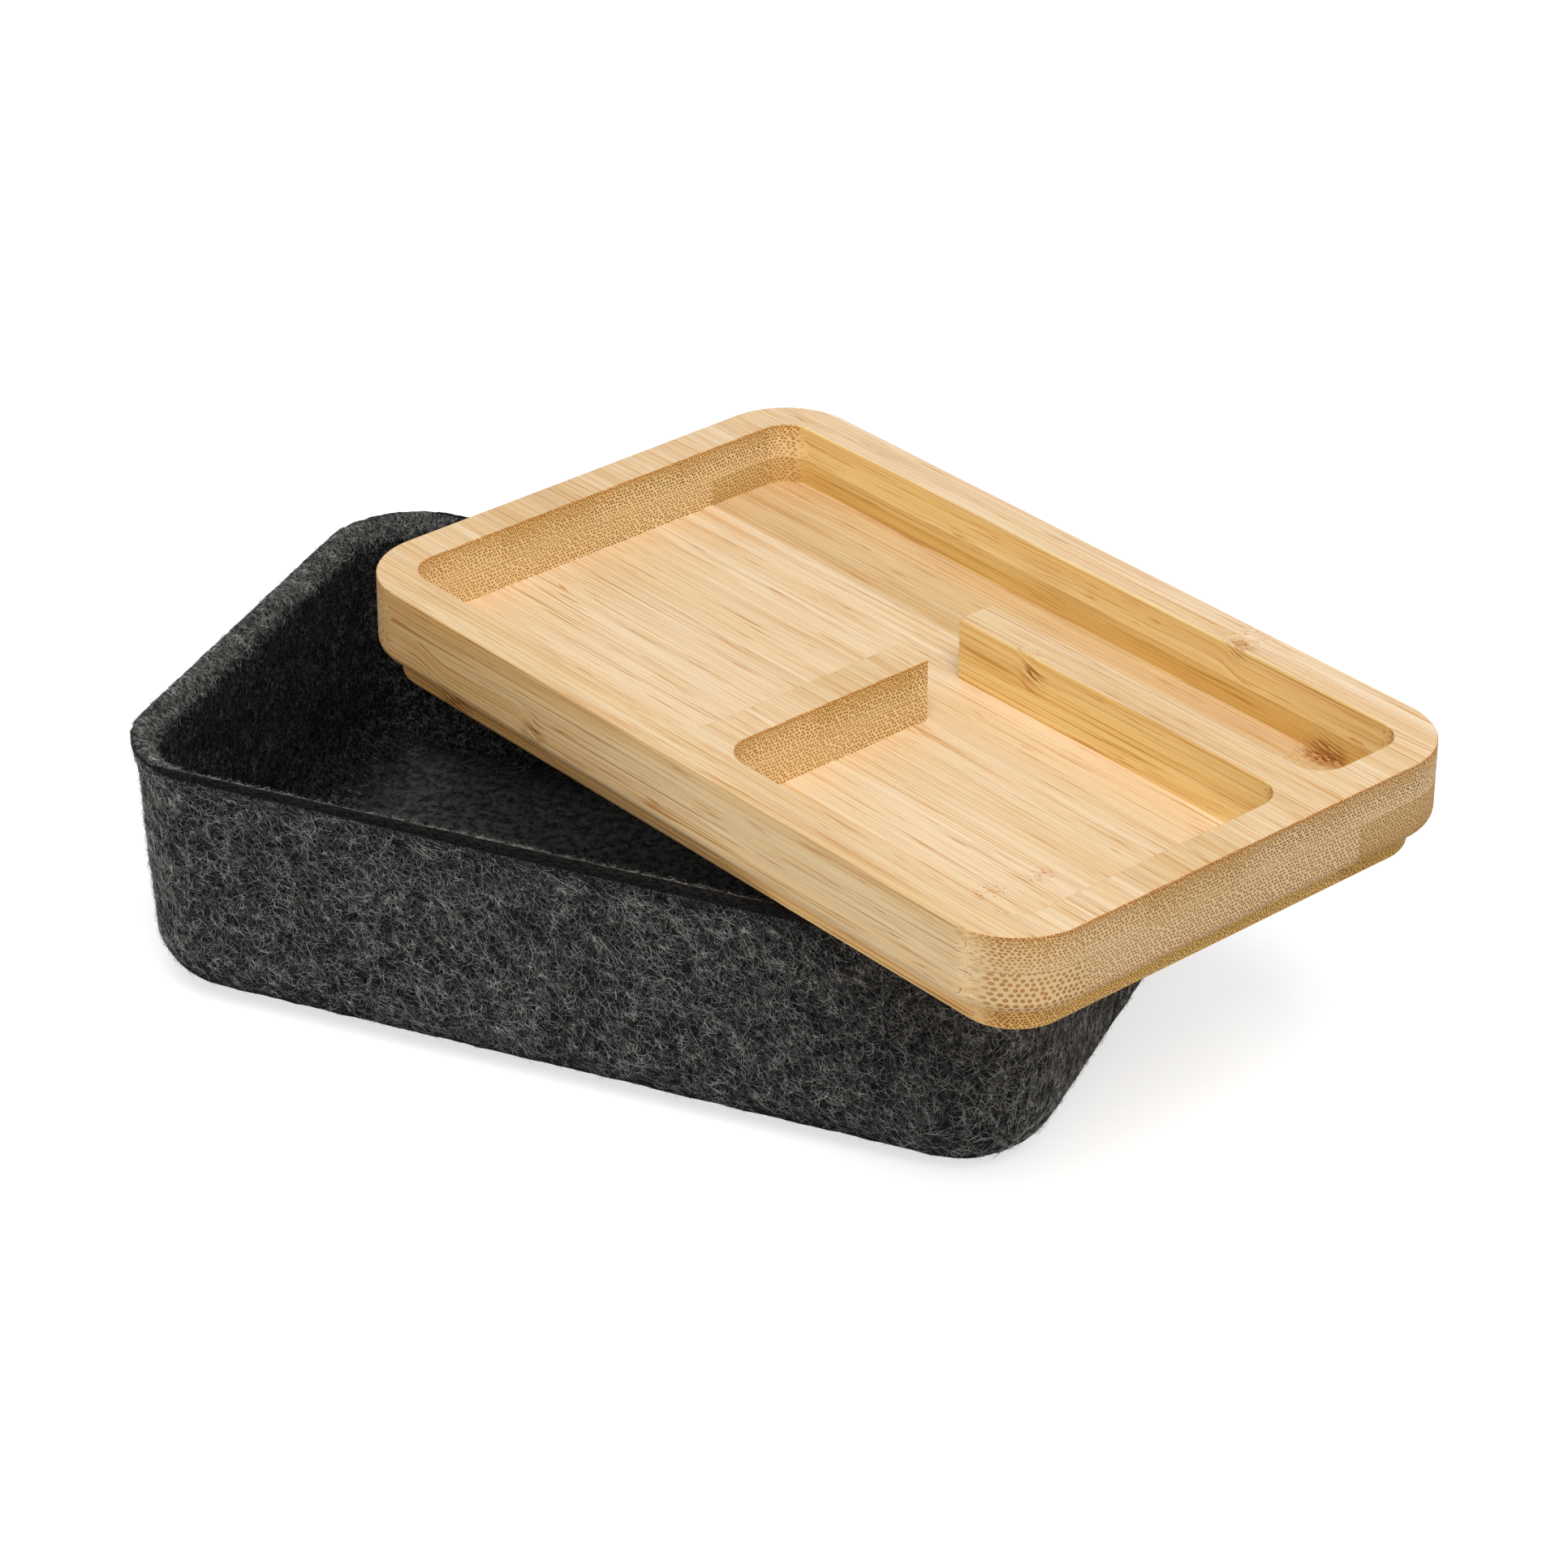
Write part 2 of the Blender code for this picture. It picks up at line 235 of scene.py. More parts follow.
def make_board():
    """The whole milled board with its plug, rims, ribs and rounded arrises."""
    half = Vector((LID_LENGTH / 2, LID_WIDTH / 2, 0))
    board = add_block("board", (-half.x, -half.y, PLUG_HEIGHT), (half.x, half.y, LID_HEIGHT))
    bevel_edges(board, upright, LID_CORNER, LID_CORNER_STEPS)
    bevel_edges(board, outline_at(PLUG_HEIGHT), LOWER_EDGE, LOWER_EDGE_STEPS)
    half -= Vector((PLUG_SETBACK, PLUG_SETBACK, 0))
    plug = add_block("plug", (-half.x, -half.y, 0), (half.x, half.y, GLUE_LINE))
    bevel_edges(plug, upright, LID_CORNER - PLUG_SETBACK, PLUG_CORNER_STEPS)
    bevel_edges(plug, outline_at(0), PLUG_EDGE, PLUG_EDGE_STEPS)
    cut(board, plug, 'UNION')
    cut(board, make_tray_tool(), 'DIFFERENCE')
    bevel_edges(board, outline_at(LID_HEIGHT), ARRIS, ARRIS_STEPS)
    return board


def make_tray_tool():
    """The hollow that is milled out: a block less the two ribs, with milled corners."""
    right = LID_LENGTH / 2 - RIM_WIDTH
    back = LID_WIDTH / 2 - RIM_WIDTH
    floor = LID_HEIGHT - TRAY_DEPTH
    top = LID_HEIGHT + OVERRUN
    tool = add_block("tray_tool", (-right, -back, floor), (right, back, top))
    short_rib = add_block("short_rib", (RIB_LEFT, -back - OVERRUN, floor - OVERRUN),
                          (RIB_LEFT + RIB_WIDTH, SHORT_RIB_END, top + OVERRUN))
    cut(tool, short_rib, 'DIFFERENCE')
    long_rib = add_block("long_rib", (RIB_LEFT, LONG_RIB_FRONT, floor - OVERRUN),
                         (right + OVERRUN, LONG_RIB_FRONT + RIB_WIDTH, top + OVERRUN))
    cut(tool, long_rib, 'DIFFERENCE')

    def at_rib_end(edge):
        x, y = edge.verts[0].co.xy
        by_long_rib = abs(x - RIB_LEFT) < SAME and y > SHORT_RIB_END + SAME
        by_short_rib = abs(y - SHORT_RIB_END) < SAME
        return abs(y) < back - SAME and (by_long_rib or by_short_rib)

    bevel_edges(tool, lambda edge: upright(edge) and not at_rib_end(edge), TRAY_CORNER,
                TRAY_CORNER_STEPS)
    bevel_edges(tool, lambda edge: upright(edge) and at_rib_end(edge), RIB_ARRIS,
                RIB_ARRIS_STEPS)
    return tool


def loose_lengths(strip):
    """Separate a strip into its lengths, from left to right."""
    only(strip)
    bpy.ops.object.mode_set(mode='EDIT')
    bpy.ops.mesh.select_all(action='SELECT')
    bpy.ops.mesh.separate(type='LOOSE')
    bpy.ops.object.mode_set(mode='OBJECT')
    pieces = list(bpy.context.selected_objects)
    return sorted(pieces, key=lambda piece: min(v.co.x for v in piece.data.vertices))


def set_in_place(piece):
    """Turn a finished piece of the lid to where the lid lies, with its place in its mesh."""
    only(piece)
    piece.rotation_euler = (0, 0, LID_TURN)
    piece.location = LID_PLACE
    bpy.ops.object.transform_apply(location=True, rotation=True, scale=True)


def dress_layer(board, layer, bottom, top, seams, tones, skins):
    """Cut one layer of the board into its strips, each with its own finish and nodes."""
    reach = LID_WIDTH / 2 + OVERRUN
    edges = [-reach, *seams, reach]
    for number, (front, back) in enumerate(zip(edges, edges[1:])):
        name = f"{layer}_strip_{number + 1}"
        strip = add_block(name, (-LID_LENGTH, front, bottom), (LID_LENGTH, back, top))
        cut(strip, board, 'INTERSECT', keep_tool=True)
        finish = bamboo_finish(name, layer, number, front / MM, back / MM, tones[number],
                               skins[number])
        nodes = [name + ending for ending in ("", "_left", "_middle", "_right")
                 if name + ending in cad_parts]
        pieces = loose_lengths(strip)
        if len(pieces) != len(nodes):
            raise ValueError(f"{name} fell into {len(pieces)} lengths, not {len(nodes)}")
        for piece, node in zip(pieces, nodes):
            piece.name = "bamboo_" + node
            piece.data.materials.clear()
            piece.data.materials.append(finish)
            set_in_place(piece)
            bpy.ops.object.shade_smooth_by_angle(angle=SMOOTH_ANGLE)
            apply_modifier(piece, 'WEIGHTED_NORMAL', keep_sharp=True, weight=80)
            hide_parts(node)
            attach(piece, "lid")


def make_lid():
    board = make_board()
    dress_layer(board, "bottom", -OVERRUN, GLUE_LINE, BOTTOM_SEAMS, BOTTOM_TONES, BOTTOM_SKINS)
    dress_layer(board, "top", GLUE_LINE, LID_HEIGHT + OVERRUN, TOP_SEAMS, TOP_TONES, TOP_SKINS)
    bpy.data.objects.remove(board, do_unlink=True)


# Shader maths, written as expressions

class Wire:
    """An output socket that Python's arithmetic adds Math nodes to."""

    def __init__(self, finish, socket):
        self.finish = finish
        self.socket = socket

    def _math(self, operation, first, second):
        return self.finish.node("Math", {"operation": operation}, {0: first, 1: second})

    def __add__(self, other):
        return self._math('ADD', self, other)

    __radd__ = __add__

    def __sub__(self, other):
        return self._math('SUBTRACT', self, other)

    def __rsub__(self, other):
        return self._math('SUBTRACT', other, self)

    def __mul__(self, other):
        return self._math('MULTIPLY', self, other)

    __rmul__ = __mul__

    def __truediv__(self, other):
        return self._math('DIVIDE', self, other)

    def __pow__(self, other):
        return self._math('POWER', self, other)

    def __abs__(self):
        return self._math('ABSOLUTE', self, 0)

    def greatest(self, other):
        return self._math('MAXIMUM', self, other)

    def least(self, other):
        return self._math('MINIMUM', self, other)


class Finish:
    """A material being written, one node at a time."""

    def __init__(self, name):
        self.material = bpy.data.materials.new(name)
        self.material.use_nodes = True
        self.tree = self.material.node_tree
        self.shader = self.tree.nodes["Principled BSDF"]

    def node(self, kind, settings, inputs, output=0):
        made = self.tree.nodes.new("ShaderNode" + kind)
        for name, value in settings.items():
            setattr(made, name, value)
        for key, value in inputs.items():
            self.feed(made.inputs[key], value)
        return Wire(self, made.outputs[output])

    def feed(self, socket, value):
        if isinstance(value, Wire):
            self.tree.links.new(value.socket, socket)
        else:
            socket.default_value = value

    def in_mm(self, turn=0.0, origin=(0, 0, 0)):
        """The point in millimetres, in axes turned about the vertical and moved."""
        place = self.node("TexCoord", {}, {}, "Object")
        return self.node("Mapping", {"vector_type": 'TEXTURE'},
                         {"Vector": place, "Location": origin, "Rotation": (0, 0, turn),
                          "Scale": (MM, MM, MM)})

    def split(self, vector):
        made = self.node("SeparateXYZ", {}, {0: vector}).socket.node
        return [Wire(self, socket) for socket in made.outputs]

    def join(self, x, y, z):
        return self.node("CombineXYZ", {}, {0: x, 1: y, 2: z})

    def noise(self, vector, scale=1.0, detail=2.0, rough=0.5):
        return self.node("TexNoise", {}, {"Vector": vector, "Scale": scale, "Detail": detail,
                                          "Roughness": rough}, "Fac")

    def between(self, value, low, high, start=0.0, end=1.0):
        """Goes smoothly from start to end while the value goes from low to high."""
        return self.node("MapRange", {"interpolation_type": 'SMOOTHSTEP'},
                         {"Value": value, "From Min": low, "From Max": high,
                          "To Min": start, "To Max": end})

    def fade(self, value, low, high):
        """Goes smoothly from 1 to 0 while the value goes from low to high."""
        return self.between(value, low, high, 1.0, 0.0)

    def mix(self, share, first, second, blend='MIX'):
        return self.node("Mix", {"data_type": 'RGBA', "blend_type": blend},
                         {0: share, 6: first, 7: second}, 2)

    def tint(self, share, colour, tint):
        """Multiply a colour by a tint, by a share."""
        return self.mix(share, colour, self.mix(1.0, colour, tint, 'MULTIPLY'))

    def bump(self, height, depth, strength):
        return self.node("Bump", {}, {"Height": height, "Distance": depth,
                                      "Strength": strength}, "Normal")

    def finish(self, **sockets):
        for name, value in sockets.items():
            self.feed(self.shader.inputs[name.replace("_", " ")], value)
        return self.material


def paint(red, green, blue):
    """A linear colour from the 0 to 255 values that a picture shows."""
    def linear(value):
        value /= 255
        return value / 12.92 if value <= 0.04045 else ((value + 0.055) / 1.055) ** 2.4
    return (linear(red), linear(green), linear(blue), 1.0)


# Bamboo finish, in the lid's own millimetres: x along the fibres, y across, z up

BAMBOO_PALE = paint(246, 223, 187)
BAMBOO_WARM = paint(235, 197, 142)
BAMBOO_STREAK = paint(202, 136, 64)
BAMBOO_DARK_STREAK = paint(142, 76, 14)
BAMBOO_THIN = paint(196, 136, 58)
END_PALE = paint(236, 203, 155)
END_OUTER = paint(240, 196, 130)
END_CRUST = paint(172, 96, 28)
END_HALO = paint(200, 136, 64)
END_CORE = paint(224, 174, 100)
END_RING = paint(96, 44, 10)
DEEP_RING = paint(78, 30, 4)
CORNER_RING = paint(164, 94, 20)
KNOT = paint(146, 80, 16)
KNOT_PATCH = paint(204, 146, 74)
PORE = paint(146, 88, 34)
GLUE = paint(120, 80, 45)

# Tints of the faces that stand upright, most of them painted light and shade: the front from its
# left, darkened as painted shade, to its right, lightened as painted light; the tray's walls, a
# golden tone with painted light; their ends, painted light bounced off the tray's floor; and the
# plug, painted warm bounce light
LEFT_SIDE_PAINTED_SHADE = (1.01, 0.85, 0.57, 1.0)
SIDE_PAINTED_LIGHT = (1.15, 1.12, 1.00, 1.0)
SIDE_SHADE_STRETCH = (-75, 20)
TRAY_WALL_TONE_AND_LIGHT = (1.10, 1.08, 0.72, 1.0)
TRAY_END_PAINTED_LIGHT = (1.05, 1.14, 1.10, 1.0)
PLUG_PAINTED_BOUNCE = (1.14, 1.04, 0.84, 1.0)

# Strands lie in a loose honeycomb, closer together near the cane's outer skin. Each
# strip's number shifts its pattern, so that no two strips are alike.
HONEYCOMB_RISE = 0.866
STRAND_DISORDER = 0.38
CLOSE_SPACING = 0.56
WIDE_SPACING = 0.76
WIDEST_SPACING = 1.12
SKIN_CURVE = 110
SKIN_SLACK = 0.8
STRAND_DRIFT = 2.2
GRAIN_DEPTH = 0.00006

# Thin lines: how close together they lie, and how wide they are
THIN_LINES = ((1.6, 0.023), (2.8, 0.038))

# How far from the middle of a glue line or a seam it is dark, and where it has faded
GLUE_FADE = (0.03, 0.13)
SEAM_FADE = (0.02, 0.10)

# Where the cane's knots come to the surface, in the lid's millimetres: the middle,
# then half the length and half the width
KNOTS = {"bottom_strip_1": ((-34.8, -55.0, 8.8, 5.0, 3.2), (-63.0, -51.0, 2.2, 7.0, 3.0)),
         "bottom_strip_5": ((63.6, 46.2, 9.8, 7.5, 4.0),),
         "top_strip_4": ((18.6, 17.4, 17.5, 5.0, 3.2),),
         "top_strip_6": ((40.0, 48.6, 19.5, 5.0, 2.8),)}
KNOT_STEP = 2.0
PORES = {"bottom_strip_2": ((57.8, -30.0, 8.7, 3.4, 5.0), (59.6, -19.4, 8.7, 3.4, 4.4))}


class Grain:
    """Where a point lies in a strip: among its strands, under its skin and on its faces."""

    def __init__(self, f, name, layer, seed, middle, skin):
        self.f = f
        self.name = name
        self.layer = layer
        self.x, self.y, self.z = f.split(f.in_mm(LID_TURN, tuple(LID_PLACE)))
        self.lay_strands(seed)
        self.find_skin(seed, middle, skin)
        self.find_faces()

    def lay_strands(self, seed):
        """The strands drift slowly along their length, so a flat cut gives long thin streaks."""
        f = self.f
        place = f.join(self.x / 110 + seed * 7.3, self.y / 12, self.z / 12)
        slow = f.node("TexNoise", {}, {"Vector": place, "Scale": 1.0, "Detail": 0.6}, "Color")
        slow_across, slow_up, _ = f.split(slow)
        self.across = self.y + (slow_across - 0.5) * STRAND_DRIFT + seed * 13.7
        self.up = self.z + (slow_up - 0.5) * STRAND_DRIFT + seed * 5.9
        # They step aside at a knot
        for x0, _, _, length, _ in KNOTS.get(self.name, ()):
            self.up = self.up + f.between(self.x, x0 - length, x0 + length / 2, 0.0, KNOT_STEP)
        widest = seed == 0 and self.layer == "bottom"
        self.close = self.strand_gap(CLOSE_SPACING)
        self.wide = self.strand_gap(WIDEST_SPACING if widest else WIDE_SPACING)

    def strand_gap(self, spacing):
        """How far the point is from its strand's middle, in strand spacings."""
        f = self.f
        v = self.up / (spacing * HONEYCOMB_RISE)
        u = self.across / spacing - v * 0.5
        spot = f.node("TexVoronoi", {"voronoi_dimensions": '2D'},
                      {"Vector": f.join(u, v, 0.0), "Scale": 1.0,
                       "Randomness": STRAND_DISORDER}, "Position")
        spot_u, spot_v, _ = f.split(spot)
        du = u - spot_u
        dv = v - spot_v
        return (du * du + du * dv + dv * dv) ** 0.5

    def find_skin(self, seed, middle, skin):
        """How deep the point is under the strip's curved outer skin."""
        f = self.f
        self.below_top = LID_HEIGHT / MM - self.z
        depth = self.below_top if self.layer == "top" else self.z
        off = self.y - middle
        drift = f.noise(f.join(self.x / 90, self.y / 7, self.z / 9 + seed * 3.1), detail=1) - 0.5
        self.depth = depth + SKIN_SLACK - off * off / SKIN_CURVE + drift * 2.4
        self.outer = f.fade(self.depth, skin * 0.25, skin)

    def find_faces(self):
        """Which way the surface faces, and whether it is inside the tray."""
        f = self.f
        normal = f.node("TexCoord", {}, {}, "Normal")
        along = (math.cos(LID_TURN), math.sin(LID_TURN), 0)
        across = (-math.sin(LID_TURN), math.cos(LID_TURN), 0)
        self.facing, sideways = (
            abs(f.node("VectorMath", {"operation": 'DOT_PRODUCT'}, {0: normal, 1: way}, "Value"))
            for way in (along, across))
        self.end_grain = f.between(self.facing, 0.20, 0.60)
        self.side = f.between(sideways, 0.3, 0.8)
        tray_back = (LID_WIDTH / 2 - RIM_WIDTH) / MM
        self.in_tray = f.fade(abs(self.y), tray_back + 0.35, tray_back + 1.35)

    def bundles(self, inner, rim, spread=1.0):
        """Goes to 1 towards each strand's middle."""
        skin_strands = self.f.fade(self.close, inner, rim * spread)
        deep_strands = self.f.fade(self.wide, inner, rim)
        return skin_strands * self.outer + deep_strands * (1 - self.outer)

    def near(self, places):
        """Goes from 0 to 1 towards the middle of each place."""
        f = self.f
        total = 0.0
        for x0, y0, z0, length, width in places:
            gap = f.join((self.x - x0) / length, (self.y - y0) / width, (self.z - z0) / width)
            gap = f.node("VectorMath", {"operation": 'LENGTH'}, {0: gap}, "Value")
            total = f.fade(gap, 0.1, 1.0) + total
        return total


def long_grain(f, grain, strand, patch, fine):
    """Long faces: broad tone changes, fine straight lines, cut strands and thin broken lines,
    with painted light and shade on the upright faces.
    """
    x, across, up = grain.x, grain.across, grain.up
    side, outer = grain.side, grain.outer
    skin_dark, side_dark = (0.25, 0.15) if grain.layer == "top" else (0.9, 0.55)
    broad = f.between(f.noise(f.join(x / 160, across / 3.0, up / 3.0), detail=2), 0.32, 0.68)
    streak_share = (outer * skin_dark).greatest(side * side_dark)
    streak = f.mix(streak_share, BAMBOO_STREAK, BAMBOO_DARK_STREAK)
    colour = f.mix(broad * 0.45 + outer * 0.2, BAMBOO_PALE, BAMBOO_WARM)
    colour = f.mix(fine * (0.20 + outer * 0.12), colour, BAMBOO_STREAK)
    colour = f.mix(strand * (0.12 + patch * 0.46 + side * 0.22), colour, streak)
    thin_tone = f.mix(side * (0.35 - grain.in_tray * 0.25), BAMBOO_THIN, BAMBOO_DARK_STREAK)
    for packing, width in THIN_LINES:
        wander = f.noise(f.join(x / 80, across * packing, up * packing), detail=0)
        thin = f.fade(abs(wander - 0.5), width * 0.4, width)
        broken = f.noise(f.join(x / 34 + packing, across * 1.1, up * 1.1), detail=1)
        colour = f.mix(thin * f.between(broken, 0.44, 0.54) * 0.70, colour, thin_tone)
    # Painted shade darkens the front's left part and painted light lightens the upright faces to
    # its right; the tray's walls get a golden tone and painted light
    side_light_and_shade = f.mix(f.between(x, *SIDE_SHADE_STRETCH), LEFT_SIDE_PAINTED_SHADE, SIDE_PAINTED_LIGHT)
    return f.tint(side, colour, f.mix(grain.in_tray, side_light_and_shade, TRAY_WALL_TONE_AND_LIGHT))


def cut_grain(f, grain, ring):
    """End grain: brown rings with a golden middle, close together near the outer skin."""
    x, y, z, outer = grain.x, grain.y, grain.z, grain.outer
    grit = f.noise(f.join(x * 2.0, y * 5.0, z * 5.0), detail=2)
    square_on = f.between(grain.facing, 0.93, 0.99) * f.between(y, -45, 20, 0.35, 1.0)
    ring_tone = f.mix(square_on, CORNER_RING, DEEP_RING)
    ring_tone = f.mix(outer * 0.6, ring_tone, END_RING)
    near_skin, deep, least = (3, 9.5, 0.35) if grain.layer == "top" else (6, 13, 0.75)
    strength = f.between(grain.depth, near_skin, deep, 1.0, least)
    colour = f.mix(f.between(grit, 0.35, 0.7) * 0.2 + outer * 0.8, END_PALE, END_OUTER)
    colour = f.mix(grain.bundles(0.26, 0.46) * strength * 0.4, colour, END_HALO)
    colour = f.mix(ring * strength * 0.95, colour, ring_tone)
    core = grain.bundles(0.04, 0.17)
    colour = f.mix(core * strength * (0.9 - square_on * 0.35), colour, END_CORE)
    if grain.layer == "top":
        crust = f.fade(grain.below_top, 0.2, 0.9) * f.between(grit, 0.3, 0.6, 0.4, 1.0)
        colour = f.mix(crust * 0.6, colour, END_CRUST)
    # Painted light: the tray's inner end walls are lightened to stand in for light bounced off
    # the tray's floor
    tray_end = (LID_LENGTH / 2 - RIM_WIDTH) / MM
    lit_inner_end = grain.in_tray * f.fade(abs(x), tray_end + 5.1, tray_end + 6.6)
    return f.tint(lit_inner_end, colour, TRAY_END_PAINTED_LIGHT)


def add_knots(f, grain, colour):
    """Knots: dark curved lines with short dashes on a darker patch."""
    if grain.name not in KNOTS:
        return colour
    near = grain.near(KNOTS[grain.name])
    dashes = f.noise(f.join(grain.x * 0.35, grain.across * 2.4, grain.up * 2.4), detail=1)
    dashes = f.between(dashes, 0.47, 0.56) * (1 - grain.side * 0.35)
    lines = f.fade(grain.close, 0.12, 0.30) * 0.85
    knots = (dashes + lines).least(1.0) * near
    colour = f.mix(f.between(near, 0.05, 0.5) * (1 - grain.side) * 0.55, colour, KNOT_PATCH)
    return f.mix((knots * 1.25).least(1.0), colour, KNOT)


def add_pores(f, grain, colour):
    """Pores: fine dashes and dark specks where a knot was cut level."""
    if grain.name not in PORES:
        return colour
    near = grain.near(PORES[grain.name])
    dashes = f.between(f.noise(f.join(grain.x * 0.35, grain.y * 1.7, 0.0), detail=1), 0.50, 0.58)
    colour = f.mix(dashes * near * 0.55, colour, BAMBOO_STREAK)
    place = f.join(grain.x * 0.8, grain.y * 1.3, 0.0)
    speck = f.fade(f.node("TexVoronoi", {}, {"Vector": place, "Scale": 1.0}), 0.14, 0.27)
    return f.mix(speck * f.between(near, 0.1, 0.6) * 0.8, colour, PORE)


def bamboo_finish(name, layer, seed, front, back, tone, skin):
    """Finish of one strip that reaches from front to back, in millimetres across the lid."""
    f = Finish("bamboo_" + name)
    grain = Grain(f, name, layer, seed, clamp((front + back) / 2, -50, 50), skin)
    x, y, z = grain.x, grain.y, grain.z
    strand = grain.bundles(0.05, 0.20, 1.5)
    ring = grain.bundles(0.24, 0.32, 1.25)
    patch = f.noise(f.join(x / 34, grain.across / 1.6, grain.up / 1.6), detail=2)
    patch = f.between(patch, 0.34, 0.60)
    fine = f.noise(f.join(x / 60, grain.across * 2.8, grain.up * 2.8), detail=3, rough=0.75)
    fine = f.between(fine, 0.45, 0.60)
    colour = f.mix(grain.end_grain, long_grain(f, grain, strand, patch, fine),
                   cut_grain(f, grain, ring))
    # Painted warm bounce light on the plug and the lowest edge, under the overhang
    plug_bounce_light = f.fade(z, PLUG_HEIGHT / MM - 0.6, PLUG_HEIGHT / MM + 0.4)
    colour = f.tint(plug_bounce_light, colour, PLUG_PAINTED_BOUNCE)
    colour = add_pores(f, grain, add_knots(f, grain, colour))

    # Glue line between the layers and hairline seams between the strips
    glue = f.fade(abs(z - GLUE_LINE / MM), *GLUE_FADE)
    glue = glue * f.between(f.noise(f.join(x / 6, y / 1.5, 0.0), detail=2), 0.30, 0.6)
    seam = f.fade((y - front).least(back - y), *SEAM_FADE)
    colour = f.mix(glue * 0.28, colour, GLUE)
    colour = f.mix(seam * 0.14, colour, GLUE)

    # A darker strip is also a warmer one
    shade = (tone, tone ** 1.4, tone ** 2.6, 1.0)
    colour = f.mix(1.0, colour, shade, 'MULTIPLY')
    height = strand * patch * (grain.end_grain - 1) * 0.3 - ring * grain.end_grain * 0.1 - glue
    roughness = 0.5 + fine * 0.1 + grain.end_grain * 0.12
    return f.finish(Base_Color=colour, Roughness=roughness, Specular_IOR_Level=0.22,
                    Normal=f.bump(height, GRAIN_DEPTH, 0.7))


# Felt finish, in the tub's millimetres

FELT_DARK = paint(6, 6, 6)
# Tone of the felt floor where it is lightened as painted light
FELT_FLOOR_PAINTED_LIGHT = paint(116, 115, 112)
FELT_GREY = paint(140, 139, 136)
FELT_BAND = paint(33, 32, 30)
FELT_DEPTH = 0.00012

# Fibre lines of the felt: how long a line waves, and how wide it is
FELT_LINES = ((2.1, 0.030), (1.4, 0.042), (1.0, 0.055), (0.7, 0.080))


def pressed_fibres(f, x, y, z):
    """Broken wavy lines of four sizes, as pressed fibres show on the felt."""
    lines = 0.0
    for number, (wave, width) in enumerate(FELT_LINES):
        place = f.join(x + number * 31.7, y + number * 17.3, z + number * 9.1)
        waves = f.noise(place, 1 / wave, detail=1.5, rough=0.55)
        line = f.fade(abs(waves - 0.5), width * 0.2, width)
        broken = f.between(f.noise(place, 0.9 / wave, detail=0), 0.42, 0.56)
        lines = line * broken * (1.0 - 0.15 * number) + lines
    return lines.least(1.3)


def bare_cut(f, x, y, z, normal_z):
    """Goes to 1 on the bare cut below the rim and along the long sides' tops."""
    height = TUB_HEIGHT / MM
    tall = f.between(x, CUT_LEFT_X / MM, CUT_FULL_X / MM, CUT_LEFT_SHARE, 1.0)
    tall = tall * f.between(abs(y), CUT_GONE_Y / MM, CUT_FULL_Y / MM)
    low = height - tall * (CUT_BAND / MM)
    high = height - FRINGE / MM
    side = f.between(z - low, -0.1, 0.1) * f.fade(z, high, high + 0.15)
    side = side * f.between(abs(y), 41, 45) * f.fade(normal_z, 0.3, 0.6)
    edge = TUB_HALF.y / MM
    top = f.between(abs(y), edge - 1.5, edge - 1.1) * f.between(z, high - 1.3, high - 0.9)
    return side.greatest(top)


def felt_finish():
    """Dark pressed felt with its fibre lines, a floor lightened with painted light, rim and bare
    cut.
    """
    f = Finish("felt")
    here = f.in_mm()
    x, y, z = f.split(here)
    _, _, normal_z = f.split(f.node("TexCoord", {}, {}, "Normal"))
    half = TUB_HALF / MM
    corner = TUB_CORNER / MM
    height = TUB_HEIGHT / MM
    lines = pressed_fibres(f, x, y, z)
    clouds = f.between(f.noise(here, 0.16, detail=3, rough=0.6), 0.34, 0.66)

    # Painted light: the floor's upward faces are lightened away from the walls, and left dark
    # near them as painted shade
    patches = f.between(f.noise(here, 0.5, detail=4, rough=0.75), 0.40, 0.60)
    inset = (half.x - abs(x)).least(half.y - abs(y))
    floor = f.between(normal_z, 0.6, 0.9) * f.fade(z, 6, 10) * f.between(inset, 10, 28)
    base = f.mix(floor * (0.15 + patches * 0.85), FELT_DARK, FELT_FLOOR_PAINTED_LIGHT)
    colour = f.mix(lines * (0.5 + clouds * 0.5) * 0.26, base, FELT_GREY)

    # Fine fibre ends lie across the rim
    straight = half - Vector((corner, corner, 0))
    past_x = (abs(x) - straight.x).greatest(0)
    past_y = (abs(y) - straight.y).greatest(0)
    past = past_x + past_y
    angle = f.node("Math", {"operation": 'ARCTAN2'}, {0: past_y, 1: past_x})
    along = angle * corner + abs(x).least(straight.x) - abs(y).least(straight.y)
    rim_lines = f.noise(f.join(along * 3.4, past * 0.9, z * 0.9), detail=2, rough=0.6)
    rim_lines = f.between(rim_lines, 0.47, 0.62) * f.between(z, height - 3.6, height - 1.6)
    colour = f.mix(rim_lines * 0.40, colour, FELT_GREY)

    cut = bare_cut(f, x, y, z, normal_z)
    grain = f.noise(f.join(along * 1.1, z * 2.8, past * 2.8), detail=2)
    cut_tone = f.mix(f.between(grain, 0.40, 0.60), FELT_DARK, FELT_BAND)
    return f.finish(Base_Color=f.mix(cut, colour, cut_tone), Roughness=0.95,
                    Specular_IOR_Level=0.1, Normal=f.bump(lines * (1 - cut), FELT_DEPTH, 0.8))


def fibre_finish(name, dark, light):
    """Fibres whose tone changes along them and from place to place."""
    f = Finish(name)
    here = f.in_mm()
    tone = f.between(f.noise(here, 0.5, detail=3, rough=0.8), 0.34, 0.66)
    clouds = f.between(f.noise(here, 0.16, detail=3, rough=0.6), 0.34, 0.66)
    return f.finish(Base_Color=f.mix(tone * (0.60 + clouds * 0.40), dark, light), Roughness=0.7,
                    Specular_IOR_Level=0.2)


# Felt tub

